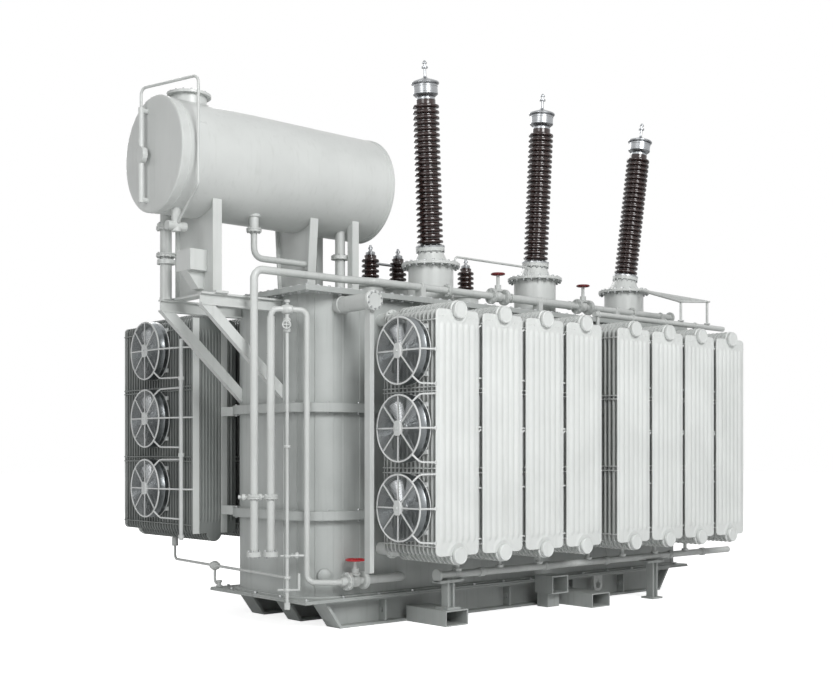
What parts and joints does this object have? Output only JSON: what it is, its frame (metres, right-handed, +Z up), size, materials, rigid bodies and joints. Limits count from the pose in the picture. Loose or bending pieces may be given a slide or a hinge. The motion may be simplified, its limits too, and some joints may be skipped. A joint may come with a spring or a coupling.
{
  "type": "power transformer",
  "caption": "Oil-filled power transformer: ribbed tank on skids with finned radiators and fans, porcelain bushings on the cover and a drum conservator over one end.",
  "frame": {"origin": "on the ground under the tank, 0.55 m from its middle towards the far end, on the underside of the middle runner", "axes": "+X along the tank away from the conservator, -Y towards the side with the shallow radiators, +Z up"},
  "size_m": [7.131, 4.355, 5.6657],
  "materials": {
    "tank_paint": "satin mid-grey paint on steel plate",
    "radiator_paint": "satin pale grey paint on pressed steel",
    "base_paint": "satin grey paint on rolled steel",
    "pipe_paint": "satin grey paint on steel tube",
    "fan_metal": "grey-painted sheet metal and wire",
    "blade_metal": "cast aluminium, dull",
    "porcelain": "dark brown glaze",
    "terminal_metal": "cast aluminium, machined stud",
    "valve_metal": "silver paint on cast steel",
    "wheel_red": "gloss red paint",
    "wheel_dark_red": "worn dark red paint"
  },
  "bodies": {
    "transformer": {"base_plate": "base_paint", "base_run": "pipe_paint", "bracket_beams": "tank_paint", "bracket_braces": "tank_paint", "breather": "pipe_paint", "conservator_ends": "tank_paint", "conservator_inner_saddle": "tank_paint", "conservator_manhole": "tank_paint", "conservator_posts": "tank_paint", "conservator_saddle": "tank_paint", "conservator_shell": "tank_paint", "cover_feet": "tank_paint", "cover_frame": "tank_paint", "cover_pipe": "pipe_paint", "drain_elbow": "pipe_paint", "drain_line": "tank_paint", "feed_pipe": "pipe_paint", "front_fan_shrouds": "fan_metal", "front_radiators_far": "radiator_paint", "front_radiators_near": "radiator_paint", "gauge_vent": "pipe_paint", "hv_insulators": "porcelain", "hv_terminals": "terminal_metal", "hv_turrets": "tank_paint", "jacking_boxes": "base_paint", "lv_bases": "tank_paint", "lv_insulators": "porcelain", "lv_terminals": "terminal_metal", "oil_gauge": "pipe_paint", "outrigger_boxes": "base_paint", "rail_legs": "base_paint", "rear_bank_posts": "tank_paint", "rear_bank_stays": "tank_paint", "rear_fan_shrouds": "fan_metal", "rear_radiators_far": "radiator_paint", "rear_radiators_near": "radiator_paint", "relay_box": "tank_paint", "relief_vent": "pipe_paint", "return_pipe": "pipe_paint", "riser_pipe": "pipe_paint", "sampling_pipe": "pipe_paint", "skid_runners": "pipe_paint", "support_rails": "base_paint", "tank_belts": "tank_paint", "tank_cover": "tank_paint", "tank_shell": "tank_paint", "towing_eyes": "base_paint", "turret_vent": "pipe_paint", "valve_bodies": "valve_metal"},
    "front_fan_1": {"front_fan_rotor_1": "blade_metal"},
    "front_fan_2": {"front_fan_rotor_2": "blade_metal"},
    "front_fan_3": {"front_fan_rotor_3": "blade_metal"},
    "rear_fan_1": {"rear_fan_rotor_1": "blade_metal"},
    "rear_fan_2": {"rear_fan_rotor_2": "blade_metal"},
    "rear_fan_3": {"rear_fan_rotor_3": "blade_metal"},
    "drain_wheel": {"drain_handwheel": "wheel_red"},
    "cover_wheel_1": {"cover_handwheel_1": "wheel_dark_red"},
    "cover_wheel_2": {"cover_handwheel_2": "wheel_dark_red"}
  },
  "joints": [
    {"name": "front_fan_1_spin", "type": "hinge", "parent": "transformer", "child": "front_fan_1", "pos_m": [-2.78, -1.54, 1.149], "axis": [-1, 0, 0], "continuous": true},
    {"name": "front_fan_2_spin", "type": "hinge", "parent": "transformer", "child": "front_fan_2", "pos_m": [-2.78, -1.54, 1.861], "axis": [-1, 0, 0], "continuous": true},
    {"name": "front_fan_3_spin", "type": "hinge", "parent": "transformer", "child": "front_fan_3", "pos_m": [-2.78, -1.54, 2.555], "axis": [-1, 0, 0], "continuous": true},
    {"name": "rear_fan_1_spin", "type": "hinge", "parent": "transformer", "child": "rear_fan_1", "pos_m": [-3.585, 1.639, 1.271], "axis": [-1, 0, 0], "continuous": true},
    {"name": "rear_fan_2_spin", "type": "hinge", "parent": "transformer", "child": "rear_fan_2", "pos_m": [-3.585, 1.639, 2.002], "axis": [-1, 0, 0], "continuous": true},
    {"name": "rear_fan_3_spin", "type": "hinge", "parent": "transformer", "child": "rear_fan_3", "pos_m": [-3.585, 1.639, 2.714], "axis": [-1, 0, 0], "continuous": true},
    {"name": "drain_wheel_turn", "type": "hinge", "parent": "transformer", "child": "drain_wheel", "pos_m": [-2.857, -0.93, 0.645], "axis": [0, 0, 1], "range_deg": [0, 1980]},
    {"name": "cover_wheel_1_turn", "type": "hinge", "parent": "transformer", "child": "cover_wheel_1", "pos_m": [-0.815, -0.76, 3.53], "axis": [0, 0, 1], "range_deg": [0, 1980]},
    {"name": "cover_wheel_2_turn", "type": "hinge", "parent": "transformer", "child": "cover_wheel_2", "pos_m": [0.54, -0.76, 3.53], "axis": [0, 0, 1], "range_deg": [0, 1980]}
  ]
}
